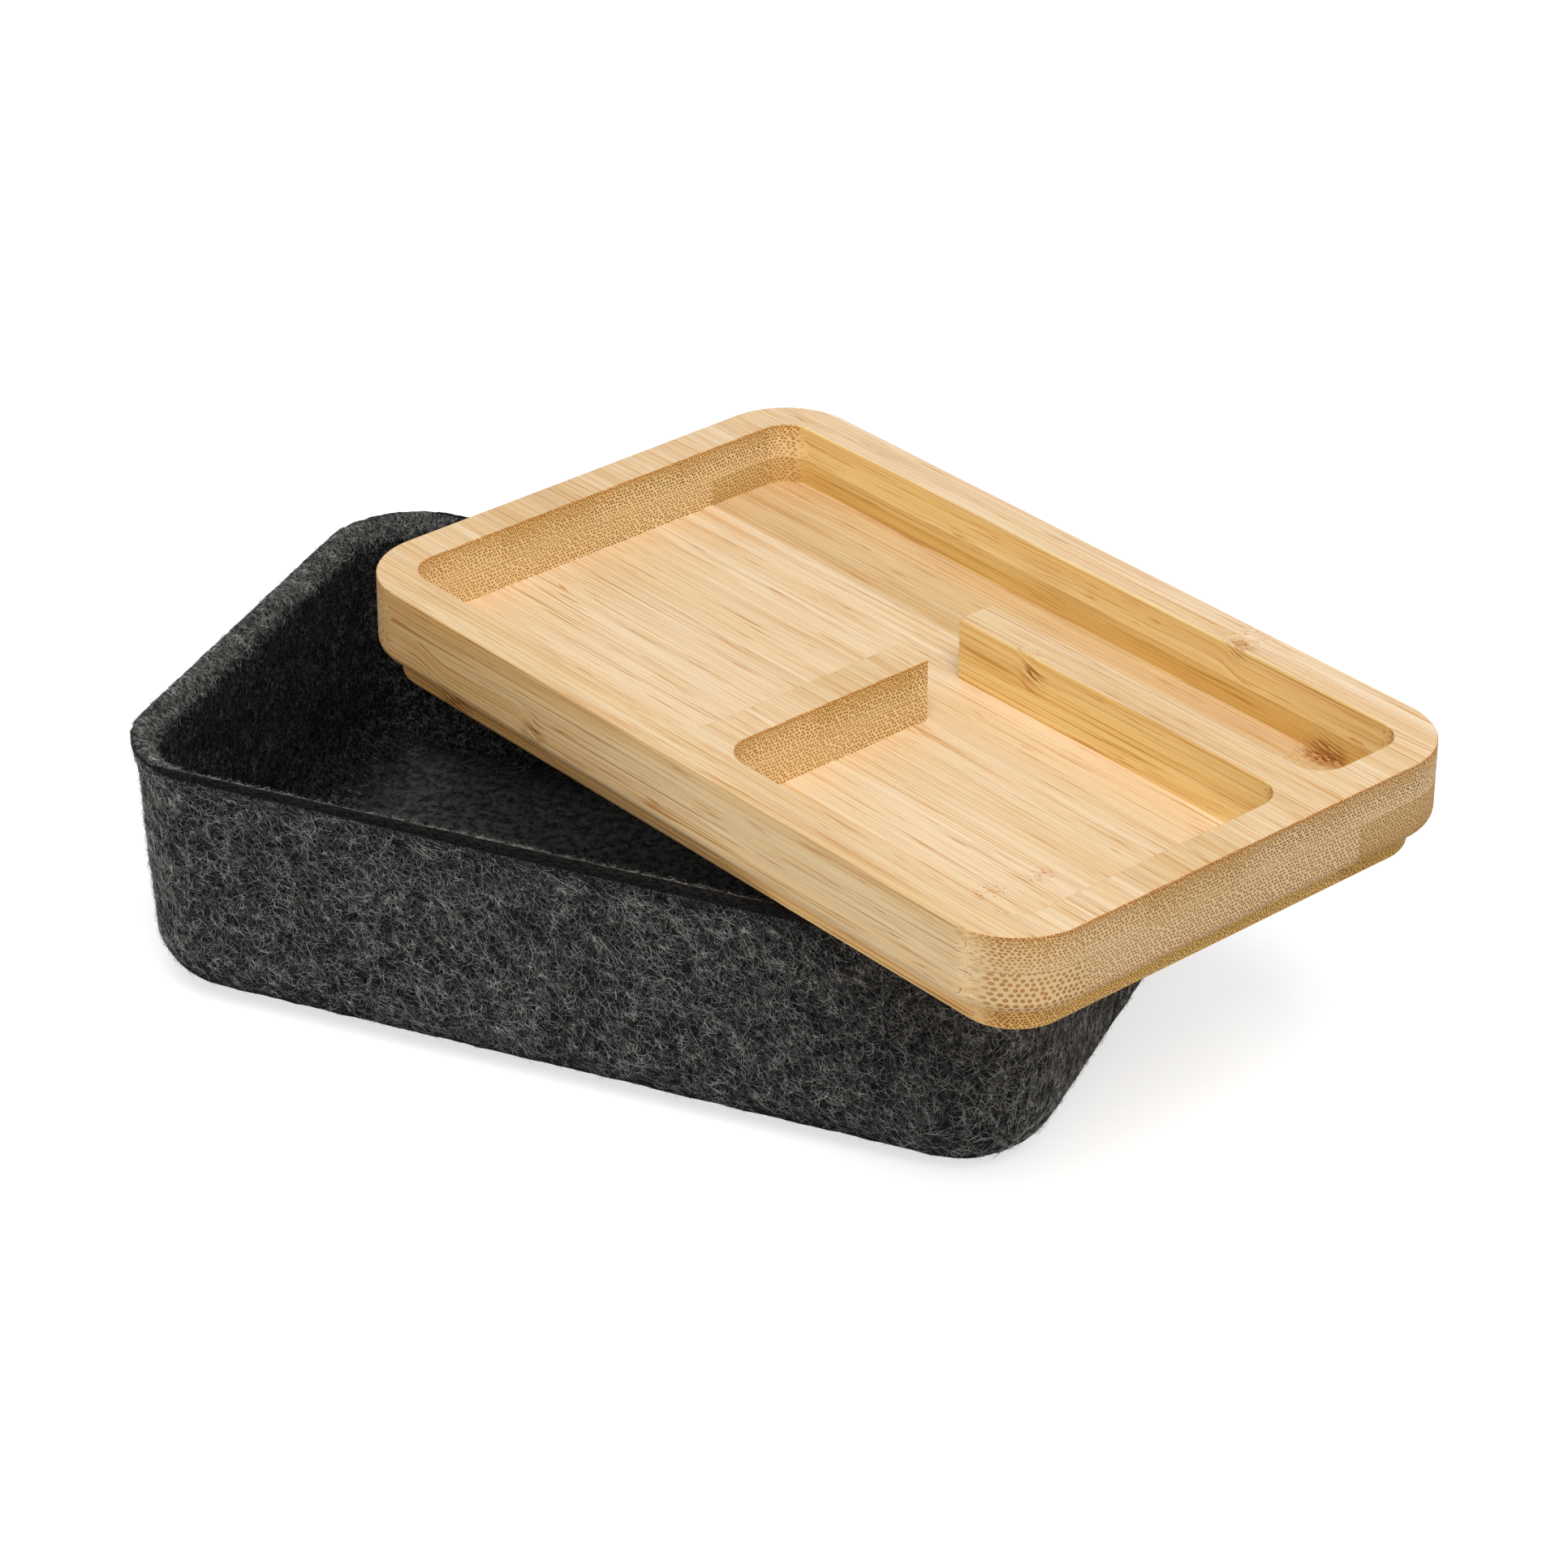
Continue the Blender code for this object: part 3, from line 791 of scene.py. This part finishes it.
def make_tub():
    """The pressed tub: leaning walls, round corners and bottom, flared and trimmed lip."""
    tub = make_tub_walls()
    shape_lip(tub)
    apply_modifier(tub, 'REMESH', mode='VOXEL', voxel_size=VOXEL)
    apply_modifier(tub, 'SMOOTH', factor=0.5, iterations=5)
    walls = tub.vertex_groups.new(name="walls")
    for vertex in tub.data.vertices:
        under_lip = (TUB_HEIGHT - LIP_ROLL - vertex.co.z) / LIP_ROLL
        walls.add([vertex.index], clamp(under_lip, 0.3), 'REPLACE')
    roughen(tub, "lumps", LUMP_SIZE, 2, LUMP_HEIGHT, vertex_group="walls")
    roughen(tub, "nubs", NUB_SIZE, 1, NUB_HEIGHT)
    only(tub)
    bpy.ops.object.shade_smooth()
    tub.data.materials.clear()
    tub.data.materials.append(felt_finish())
    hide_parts("felt_box")
    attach(tub, "box")
    return tub


def make_tub_walls():
    """The open tub up to its flared lip, with the thickness of the felt."""
    lip_start = TUB_HEIGHT - LIP_HEIGHT
    half = TUB_HALF - Vector((LIP_FLARE, LIP_FLARE, 0))
    lean = lip_start * math.tan(TUB_LEAN)
    tub = add_block("felt_tub", (-half.x, -half.y, 0), (half.x, half.y, lip_start))
    bm = start_editing(tub, 'FACE')
    pick(tub, bm.faces, lambda face: face.normal.z < -LEVEL_TILT)
    bpy.ops.transform.resize(value=(1 - lean / half.x, 1 - lean / half.y, 1))
    stop_editing()
    bevel_edges(tub, upright, TUB_CORNER - LIP_FLARE, TUB_CORNER_STEPS)
    bevel_edges(tub, outline_at(0), TUB_BOTTOM_RADIUS, TUB_BOTTOM_STEPS)
    bm = start_editing(tub, 'FACE')
    pick(tub, bm.faces, lambda face: face.normal.z > LEVEL_TILT)
    bpy.ops.mesh.delete(type='ONLY_FACE')
    stop_editing()
    for rise_share, flare_share in zip(LIP_RISE_SHARES, LIP_FLARE_SHARES):
        rise = LIP_HEIGHT * rise_share
        flare = LIP_FLARE * flare_share
        bm = start_editing(tub, 'EDGE')
        pick(tub, bm.edges, lambda edge: edge.is_boundary)
        bpy.ops.mesh.extrude_edges_move(TRANSFORM_OT_translate={"value": (0, 0, rise)})
        bpy.ops.transform.resize(value=(1 + flare / half.x, 1 + flare / half.y, 1))
        stop_editing()
    apply_modifier(tub, 'SOLIDIFY', thickness=TUB_WALL, offset=-1, use_even_offset=True)
    return tub


def shape_lip(tub):
    """Raise the lip's outer edge to a crest, and let its inner edge fall and roll in."""
    crest = TUB_HEIGHT + LIP_CREST
    for vertex in tub.data.vertices:
        if vertex.co.z <= TUB_HEIGHT - LIP_HEIGHT * LIP_TOP_SHARE:
            continue
        if past_corner(vertex.co, WALL_MIDDLE) > 0:
            vertex.co.x *= 1 + CREST_SPREAD / TUB_HALF.x
            vertex.co.y *= 1 + CREST_SPREAD / TUB_HALF.y
            vertex.co.z = crest
        else:
            vertex.co.z = crest - LIP_FALL
    bevel_edges(tub, outline_at(crest - LIP_FALL), LIP_ROLL, LIP_ROLL_STEPS)
    bevel_edges(tub, outline_at(crest), LIP_ARRIS, ARRIS_STEPS)


def past_corner(point, half):
    """How far a point is outside a rectangle with the tub's rounded corners."""
    past = Vector((abs(point.x) - half.x + TUB_CORNER, abs(point.y) - half.y + TUB_CORNER))
    if min(past) > 0:
        return past.length - TUB_CORNER
    return max(past) - TUB_CORNER


def roughen(piece, name, size, detail, height, **settings):
    """Push a surface in and out by a cloudy texture."""
    texture = bpy.data.textures.new(name, 'CLOUDS')
    texture.noise_scale = size
    texture.noise_depth = detail
    apply_modifier(piece, 'DISPLACE', texture=texture, strength=height, mid_level=0.5,
                   **settings)


# Stretches of felt, told apart by where they are and how far up they face

CUT_FACING = 0.5
RIM_FACING = 0.25
FLOOR_FACING = 0.8
UNDERSIDE_FACING = -0.97
END_CORNER_SHARE = 0.7


def cut_band(point):
    """Height of the bare cut below the rim: lower at the left, and gone at the two ends."""
    along = clamp((point.x - CUT_LEFT_X) / (CUT_FULL_X - CUT_LEFT_X))
    on_long_side = clamp((abs(point.y) - CUT_GONE_Y) / (CUT_FULL_Y - CUT_GONE_Y))
    return CUT_BAND * (CUT_LEFT_SHARE + (1 - CUT_LEFT_SHARE) * along) * on_long_side


def felt_region(point, normal):
    """Name of the stretch of felt that a point lies on."""
    lean = (TUB_HEIGHT - point.z) * math.tan(TUB_LEAN)
    outer = past_corner(point, WALL_MIDDLE) > -lean
    cut_top = abs(point.y) > TUB_HALF.y - CUT_TOP_WIDTH
    on_cut = outer and (normal.z < CUT_FACING or cut_top)
    if on_cut and point.z > TUB_HEIGHT - cut_band(point):
        return "band"
    end_lip = outer and abs(point.y) < CUT_FULL_Y and point.z > TUB_HEIGHT - CUT_BAND
    if end_lip or point.z > TUB_HEIGHT - LIP_ROLL and normal.z > RIM_FACING:
        if abs(point.x) > TUB_HALF.x - TUB_CORNER:
            return "rim_right" if point.x > 0 else "rim_left"
        return "rim_front" if point.y < 0 else "rim_back"
    if normal.z > FLOOR_FACING:
        return "floor"
    if normal.z < UNDERSIDE_FACING:
        return "underside"
    if not outer:
        return "inside"
    if abs(point.x) > TUB_HALF.x - TUB_CORNER * END_CORNER_SHARE:
        end = "right_end" if point.x > 0 else "left_end"
        return end + ("_front" if point.y < 0 else "_back")
    side = "front" if point.y < 0 else "back"
    return side + ("_left" if point.x < 0 else "_right")


def felt_kind(region):
    """Which tones the fibres of a stretch of felt have."""
    if region in ("inside", "floor"):
        return region
    return "rim" if region.startswith("rim") else "walls"


# Loose fibres of the felt

FIBRE_SEED = 41
FIBRE_RADIUS = 0.000026
FIBRE_STRIDE = 0.0009

# A fibre creeps at shares of this height, keeps a share of each turn and has thin tips
FIBRE_LIFT = 0.00009
CREEP_SHARES = (0.3, 1.2)
TURN_SHARE = 0.6
TIP_SHARE = 0.45

# Fibres on each square millimetre
FIBRE_DENSITY = {"front_left": 2.6, "front_right": 2.6, "back_left": 0.8, "back_right": 0.8,
                 "left_end_front": 2.2, "left_end_back": 2.2, "right_end_front": 2.4,
                 "right_end_back": 2.4, "inside": 0.25, "floor": 0.45, "rim_front": 5.5,
                 "rim_left": 4.6, "rim_back": 3.5, "rim_right": 2.6, "underside": 0.06}

# Dark and light tone of the dull fibres and of the bright ones, and the bright ones' share; the
# inside's fibres are darkened and get few bright ones as painted shade, and the floor's are
# lightened as painted light
FIBRE_TONES = {
    "walls": (((26, 26, 25), (104, 103, 100)), ((120, 119, 116), (255, 253, 249))),
    "inside": (((4, 4, 4), (28, 27, 26)), ((40, 39, 38), (160, 158, 154))),
    "floor": (((50, 49, 48), (150, 149, 146)), ((110, 109, 106), (240, 238, 234))),
    "rim": (((34, 33, 32), (104, 103, 100)), ((130, 129, 126), (250, 248, 244))),
}
BRIGHT_SHARES = {"walls": 0.50, "inside": 0.08, "floor": 0.30, "rim": 0.60}

# Shortest and longest fibre, and how sharply it curls: most fibres, the few long ones,
# and those of the tub's ends, its hollow and its rim
SHORT_FIBRES = (0.0020, 0.0046)
SHORT_CURL = 0.46
LONG_FIBRES = (0.0045, 0.0080)
LONG_CURL = 0.28
LONG_SHARE = 0.14
END_FIBRES = (0.0025, 0.0085)
END_CURL = 0.24
HOLLOW_FIBRES = (0.0015, 0.0040)
RIM_FIBRES = (0.0010, 0.0026)
RIM_CURL = 0.6

# How thick a fibre is, in shares of the section, and how far its loose end stands off
THICKNESS_SHARES = (0.58, 0.98)
END_THICKNESS_SHARES = (0.8, 1.25)
LOOSE_ENDS = (0.0003, 0.0009)
LOOSE_SHARE = 0.40
HOLLOW_LOOSE_SHARE = 0.05

# How many of the fibres that reach the bare cut are left out, and how far from its
# face's middle a fibre may start
BARE_CUT_SHARE = 0.92
START_SHARE = 0.7

# The front's fibres lie this way from its middle to its right
BRUSHED_WAY = Vector((1.2, 0, -1.5))
BRUSHED_START = -0.055
BRUSHED_FADE = 0.05

# Fibres of the ends and the inside stand upright, and those of the rim lie across it,
# either way round and more or less strictly
END_PULLS = (-2.4, 2.4)
INSIDE_PULLS = (-1.6, 1.6)
RIM_PULLS = (-1.4, 1.4)
LOOSE_WAY_SHARE = 0.5

# Fibres thin out towards the back of the ends, and towards the edge of the floor
END_THINNING_START = -0.030
END_THINNING_FADE = 0.060
END_THINNING_SHARE = 0.6
FLOOR_FADE = 0.030


class Fibres:
    """Curly fibres that creep over the felt, gathered into one piece."""

    def __init__(self, name, surface, draw):
        self.name = name
        self.surface = surface
        self.draw = draw
        self.curve = bpy.data.curves.new(name, 'CURVE')
        self.curve.dimensions = '3D'

    def add(self, point, normal, heading, length, curl, thickness, loose):
        """One fibre that creeps over the felt from a point, turning as it goes."""
        draw = self.draw
        steps = max(3, round(length / FIBRE_STRIDE))
        stride = length / steps
        turn = draw.gauss(0, curl * 0.5)
        rises = [FIBRE_LIFT * draw.uniform(*CREEP_SHARES) for _ in range(steps + 1)]
        rises[0] = -FIBRE_LIFT / 2
        if loose:
            rises[-2] = loose / 2
        rises[-1] = loose if loose else -FIBRE_LIFT / 2
        coordinates = []
        for rise in rises:
            place = point + normal * rise
            coordinates.extend((place.x, place.y, max(place.z, FIBRE_LIFT), 1.0))
            heading = (heading - normal * heading.dot(normal)).normalized()
            turn = TURN_SHARE * turn + draw.gauss(0, curl)
            side = normal.cross(heading)
            heading = heading * math.cos(turn) + side * math.sin(turn)
            point, normal, _, _ = self.surface.find_nearest(point + heading * stride)
            if felt_region(point, normal) == "band" and draw.random() < BARE_CUT_SHARE:
                return
        spline = self.curve.splines.new('POLY')
        spline.points.add(steps)
        spline.points.foreach_set("co", coordinates)
        radii = [thickness] * (steps + 1)
        radii[0] = radii[-1] = thickness * TIP_SHARE
        spline.points.foreach_set("radius", radii)

    def finish(self, material, section):
        """Turn the fibres into a mesh that belongs to the felt."""
        self.curve.bevel_mode = 'OBJECT'
        self.curve.bevel_object = section
        self.curve.use_fill_caps = True
        piece = bpy.data.objects.new(self.name, self.curve)
        bpy.context.scene.collection.objects.link(piece)
        only(piece)
        bpy.ops.object.convert(target='MESH')
        piece = bpy.context.object
        piece.name = self.name
        piece.data.materials.clear()
        piece.data.materials.append(material)
        bpy.ops.object.shade_smooth()
        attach(piece, "box")


def fibre_section(radius):
    """A small three-cornered section that the fibres are drawn with."""
    curve = bpy.data.curves.new("fibre_section", 'CURVE')
    curve.dimensions = '2D'
    spline = curve.splines.new('POLY')
    spline.points.add(2)
    for number, point in enumerate(spline.points):
        angle = math.tau * number / 3
        point.co = (radius * math.cos(angle), radius * math.sin(angle), 0, 1)
    spline.use_cyclic_u = True
    section = bpy.data.objects.new("fibre_section", curve)
    bpy.context.scene.collection.objects.link(section)
    return section


def lie_of_fibre(region, point, draw):
    """Heading, length and curl of a fibre that starts at a point, or None to leave it out."""
    up = Vector((0, 0, 1))
    any_way = Vector((draw.gauss(0, 1), draw.gauss(0, 1), draw.gauss(0, 1)))
    heading, length, curl = any_way, draw.uniform(*SHORT_FIBRES), SHORT_CURL
    if draw.random() < LONG_SHARE:
        length, curl = draw.uniform(*LONG_FIBRES), LONG_CURL
    if region.startswith("front"):
        heading = any_way + BRUSHED_WAY * clamp((point.x - BRUSHED_START) / BRUSHED_FADE)
    elif "end" in region:
        thinning = clamp((point.y - END_THINNING_START) / END_THINNING_FADE)
        if draw.random() < thinning * END_THINNING_SHARE:
            return None
        heading = any_way + up * draw.choice(END_PULLS)
        length, curl = draw.uniform(*END_FIBRES), END_CURL
    elif region == "inside":
        heading = any_way * LOOSE_WAY_SHARE + up * draw.choice(INSIDE_PULLS)
        length = draw.uniform(*HOLLOW_FIBRES)
    elif region == "floor":
        length = draw.uniform(*HOLLOW_FIBRES)
        inset = min(TUB_HALF.x - abs(point.x), TUB_HALF.y - abs(point.y))
        if draw.random() > inset / FLOOR_FADE:
            return None
    elif region.startswith("rim"):
        inward = Vector((-point.x / TUB_HALF.x ** 2, -point.y / TUB_HALF.y ** 2, 0))
        heading = any_way * LOOSE_WAY_SHARE + inward.normalized() * draw.choice(RIM_PULLS)
        length, curl = draw.uniform(*RIM_FIBRES), RIM_CURL
    return heading, length, curl


def fibre_finishes():
    """The dull and the bright finish of each kind of felt."""
    finishes = {}
    for kind, tones in FIBRE_TONES.items():
        names = ("felt_fibres_" + kind, "felt_bright_fibres_" + kind)
        finishes[kind] = [fibre_finish(name, paint(*dark), paint(*light))
                          for name, (dark, light) in zip(names, tones)]
    return finishes


def plant_fibres(tub):
    """Loose fibres all over the felt, a dull and a bright piece for each stretch of it."""
    draw = random.Random(FIBRE_SEED)
    mesh = tub.data
    surface = BVHTree.FromPolygons([v.co for v in mesh.vertices],
                                   [p.vertices for p in mesh.polygons])
    faces = {}
    for polygon in mesh.polygons:
        region = felt_region(polygon.center, polygon.normal)
        faces.setdefault(region, []).append(polygon.index)
    section = fibre_section(FIBRE_RADIUS)
    finishes = fibre_finishes()
    for region, density in FIBRE_DENSITY.items():
        kind = felt_kind(region)
        in_hollow = kind in ("inside", "floor")
        thickness_shares = END_THICKNESS_SHARES if "end" in region else THICKNESS_SHARES
        loose_share = HOLLOW_LOOSE_SHARE if in_hollow else LOOSE_SHARE
        indices = faces[region]
        areas = [mesh.polygons[index].area / MM ** 2 for index in indices]
        count = round(sum(areas) * density)
        fibres = (Fibres("fibres_" + region, surface, draw),
                  Fibres("bright_fibres_" + region, surface, draw))
        for index in draw.choices(indices, weights=areas, k=count):
            polygon = mesh.polygons[index]
            corner = mesh.vertices[polygon.vertices[0]].co
            point = polygon.center.lerp(corner, draw.uniform(-START_SHARE, START_SHARE))
            lie = lie_of_fibre(region, point, draw)
            if lie is None:
                continue
            heading, length, curl = lie
            bright = draw.random() < BRIGHT_SHARES[kind]
            thickness = draw.uniform(*thickness_shares)
            loose = draw.uniform(*LOOSE_ENDS) if draw.random() < loose_share else 0.0
            fibres[bright].add(point, polygon.normal, heading, length, curl, thickness, loose)
        for some, finish in zip(fibres, finishes[kind]):
            some.finish(finish, section)
    bpy.data.objects.remove(section, do_unlink=True)


# Camera, light and floor

CAMERA_PLACE = Vector((0.34152, -0.76718, 0.52569))
CAMERA_RIGHT = Vector((0.922014, 0.387137, 0.003909))
CAMERA_DOWN = Vector((0.19828, -0.463508, -0.863623))
CAMERA_FORWARD = Vector((-0.332529, 0.797048, -0.504123))
CAMERA_LENS = 120.554
CLIP_START = 0.01
SENSOR = 36.0

LAMP_PLACE = Vector((0.45, -0.65, 1.5))
LAMP_TARGET = Vector((0.03, 0, 0.03))
LAMP_SIZE = 1.1
LAMP_POWER = 17.5

SKY_LEVEL = 0.47
FLOOR_SIZE = 8
FLOOR_DROP = 0.0002
FLOOR_GREY = (0.62, 0.62, 0.62, 1)
FLOOR_GLOW = 0.680


def make_camera():
    data = bpy.data.cameras.new("camera")
    data.lens = CAMERA_LENS
    data.sensor_width = SENSOR
    data.sensor_height = SENSOR
    data.sensor_fit = 'HORIZONTAL'
    data.clip_start = CLIP_START
    camera = bpy.data.objects.new("camera", data)
    bpy.context.scene.collection.objects.link(camera)
    turned = Matrix((CAMERA_RIGHT, -CAMERA_DOWN, -CAMERA_FORWARD)).transposed()
    camera.matrix_world = Matrix.Translation(CAMERA_PLACE) @ turned.to_4x4()
    bpy.context.scene.camera = camera


def make_lamp():
    """One round softbox overhead."""
    data = bpy.data.lights.new("overhead", 'AREA')
    data.shape = 'DISK'
    data.size = LAMP_SIZE
    data.energy = LAMP_POWER
    lamp = bpy.data.objects.new("overhead", data)
    bpy.context.scene.collection.objects.link(lamp)
    lamp.location = LAMP_PLACE
    lamp.rotation_euler = (LAMP_TARGET - LAMP_PLACE).to_track_quat('-Z', 'Y').to_euler()


def make_world():
    """White where it is seen or mirrored, and a softer light on everything else."""
    world = bpy.data.worlds.new("studio")
    bpy.context.scene.world = world
    world.use_nodes = True
    tree = world.node_tree
    background = tree.nodes["Background"]
    background.inputs["Color"].default_value = (1, 1, 1, 1)
    rays = tree.nodes.new("ShaderNodeLightPath")
    seen = rays.outputs["Is Camera Ray"]
    for kind in ("Is Glossy Ray", "Is Transmission Ray"):
        either = tree.nodes.new("ShaderNodeMath")
        either.operation = 'MAXIMUM'
        tree.links.new(seen, either.inputs[0])
        tree.links.new(rays.outputs[kind], either.inputs[1])
        seen = either.outputs[0]
    level = tree.nodes.new("ShaderNodeMapRange")
    tree.links.new(seen, level.inputs["Value"])
    level.inputs["To Min"].default_value = SKY_LEVEL
    level.inputs["To Max"].default_value = 1.0
    tree.links.new(level.outputs[0], background.inputs["Strength"])


def make_floor():
    """A white floor that keeps the object's shadow."""
    bpy.ops.object.select_all(action='DESELECT')
    bpy.ops.mesh.primitive_plane_add(size=FLOOR_SIZE, location=(0, 0, -FLOOR_DROP))
    floor = bpy.context.object
    floor.name = "floor"
    f = Finish("floor")
    seen = f.node("LightPath", {}, {}, "Is Camera Ray")
    glow = f.mix(seen, (0, 0, 0, 1), (FLOOR_GLOW, FLOOR_GLOW, FLOOR_GLOW, 1))
    finish = f.finish(Base_Color=FLOOR_GREY, Roughness=1.0, Specular_IOR_Level=0.0,
                      Emission_Color=glow, Emission_Strength=1.0)
    floor.data.materials.append(finish)


bpy.context.scene.view_settings.view_transform = 'Standard'
make_camera()
make_world()
make_floor()
make_lamp()
make_lid()
plant_fibres(make_tub())
